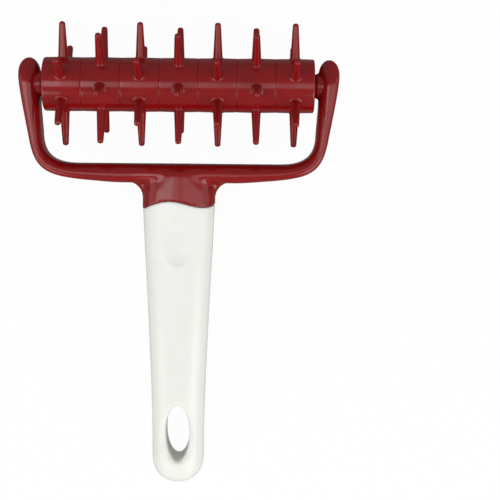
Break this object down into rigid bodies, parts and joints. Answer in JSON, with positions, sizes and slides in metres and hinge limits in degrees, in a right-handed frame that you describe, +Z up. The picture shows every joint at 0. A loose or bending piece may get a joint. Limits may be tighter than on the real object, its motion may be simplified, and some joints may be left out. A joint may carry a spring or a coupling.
{
  "type": "dough docker",
  "caption": "Hand dough docker: a spiked roller of keyed rings turning in a forked yoke with a tapered oval grip and a hang hole.",
  "frame": {"origin": "bottom centre of the bounding box, on the table that the tool lies on", "axes": "+X along the roller's axle, +Y from the handle to the roller, +Z up"},
  "size_m": [0.1248, 0.1814, 0.0471],
  "materials": {
    "red_plastic": "gloss",
    "white_plastic": "gloss",
    "natural_plastic": "matte",
    "dark_red_plastic": "satin"
  },
  "bodies": {
    "holder": {"yoke": "red_plastic", "handle": "white_plastic"},
    "roller": {"spike_ring_1": "red_plastic", "spike_ring_2": "red_plastic", "spike_ring_3": "red_plastic", "spike_ring_4": "red_plastic", "spike_ring_5": "red_plastic", "spike_ring_6": "red_plastic", "spike_ring_7": "red_plastic", "roller_core": "natural_plastic", "end_bush_left": "dark_red_plastic", "end_bush_right": "dark_red_plastic"}
  },
  "joints": [
    {"name": "roller_spin", "type": "hinge", "parent": "holder", "child": "roller", "pos_m": [0, 0.0672, 0.02355], "axis": [1, 0, 0], "continuous": true}
  ]
}
